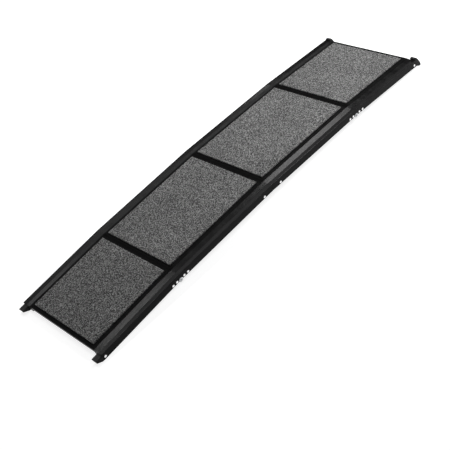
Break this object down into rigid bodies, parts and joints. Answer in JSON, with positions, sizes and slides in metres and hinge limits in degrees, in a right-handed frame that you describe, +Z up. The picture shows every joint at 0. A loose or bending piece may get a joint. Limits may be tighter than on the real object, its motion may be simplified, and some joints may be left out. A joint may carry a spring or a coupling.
{
  "type": "folding dog ramp",
  "caption": "Long carpeted pet ramp of hinged panels between black channel side rails; the panels fold under one another into a flat stack.",
  "frame": {"origin": "on the floor under the middle of the unfolded ramp", "axes": "+X across the ramp to the right rail, +Y along it from the ground end to the vehicle end, +Z up"},
  "size_m": [0.42, 1.5504, 0.0699],
  "materials": {
    "carpet": "speckled grey short pile",
    "deck": "black, fine texture",
    "rail": "black powder coat, satin",
    "cross_bar": "black powder coat, satin",
    "foot": "black moulded, matte",
    "hinge_steel": "zinc plated",
    "link": "black paint",
    "rivet": "bright"
  },
  "bodies": {
    "panel_2": {"panel_2_carpet": "carpet", "panel_2_cross_bar_inner": "cross_bar", "panel_2_cross_bar_middle": "cross_bar", "panel_2_cross_bar_outer": "cross_bar", "panel_2_cross_bar_rivets": "rivet", "panel_2_deck": "deck", "panel_2_link_rivets": "rivet", "panel_2_rail_left": "rail", "panel_2_rail_right": "rail", "panel_2_strap_left": "hinge_steel", "panel_2_strap_right": "hinge_steel", "panel_2_strap_rivets": "rivet"},
    "panel_1": {"panel_1_carpet": "carpet", "panel_1_cross_bar_inner": "cross_bar", "panel_1_cross_bar_outer": "cross_bar", "panel_1_cross_bar_rivets": "rivet", "panel_1_deck": "deck", "panel_1_foot_left": "foot", "panel_1_foot_right": "foot", "panel_1_foot_rivets": "rivet", "panel_1_hinge_pin_left": "hinge_steel", "panel_1_hinge_pin_right": "hinge_steel", "panel_1_rail_left": "rail", "panel_1_rail_right": "rail", "panel_1_strap_left": "hinge_steel", "panel_1_strap_right": "hinge_steel", "panel_1_strap_rivets": "rivet"},
    "links": {"link_left": "link", "link_right": "link"},
    "panel_3": {"panel_3_carpet": "carpet", "panel_3_cross_bar_inner": "cross_bar", "panel_3_cross_bar_middle": "cross_bar", "panel_3_cross_bar_outer": "cross_bar", "panel_3_cross_bar_rivets": "rivet", "panel_3_deck": "deck", "panel_3_link_rivets": "rivet", "panel_3_rail_left": "rail", "panel_3_rail_right": "rail", "panel_3_strap_left": "hinge_steel", "panel_3_strap_right": "hinge_steel", "panel_3_strap_rivets": "rivet"},
    "panel_4": {"panel_4_carpet": "carpet", "panel_4_cross_bar_inner": "cross_bar", "panel_4_cross_bar_outer": "cross_bar", "panel_4_cross_bar_rivets": "rivet", "panel_4_deck": "deck", "panel_4_foot_left": "foot", "panel_4_foot_right": "foot", "panel_4_foot_rivets": "rivet", "panel_4_hinge_pin_left": "hinge_steel", "panel_4_hinge_pin_right": "hinge_steel", "panel_4_rail_left": "rail", "panel_4_rail_right": "rail", "panel_4_strap_left": "hinge_steel", "panel_4_strap_right": "hinge_steel", "panel_4_strap_rivets": "rivet"}
  },
  "joints": [
    {"name": "ground_panel_fold", "type": "hinge", "parent": "panel_2", "child": "panel_1", "pos_m": [0, -0.42302, 0.02626], "axis": [1, 0, 0], "range_deg": [0, 177.2]},
    {"name": "middle_fold_ground_side", "type": "hinge", "parent": "panel_2", "child": "links", "pos_m": [0, -0.04006, 0.04464], "axis": [-1, 0, 0], "range_deg": [0, 88.6]},
    {"name": "middle_fold_vehicle_side", "type": "hinge", "parent": "links", "child": "panel_3", "pos_m": [0, 0.03673, 0.04521], "axis": [-1, 0, 0], "range_deg": [0, 88.6]},
    {"name": "vehicle_panel_fold", "type": "hinge", "parent": "panel_3", "child": "panel_4", "pos_m": [0, 0.41992, 0.03246], "axis": [-1, 0, 0], "range_deg": [0, 177.2]}
  ]
}
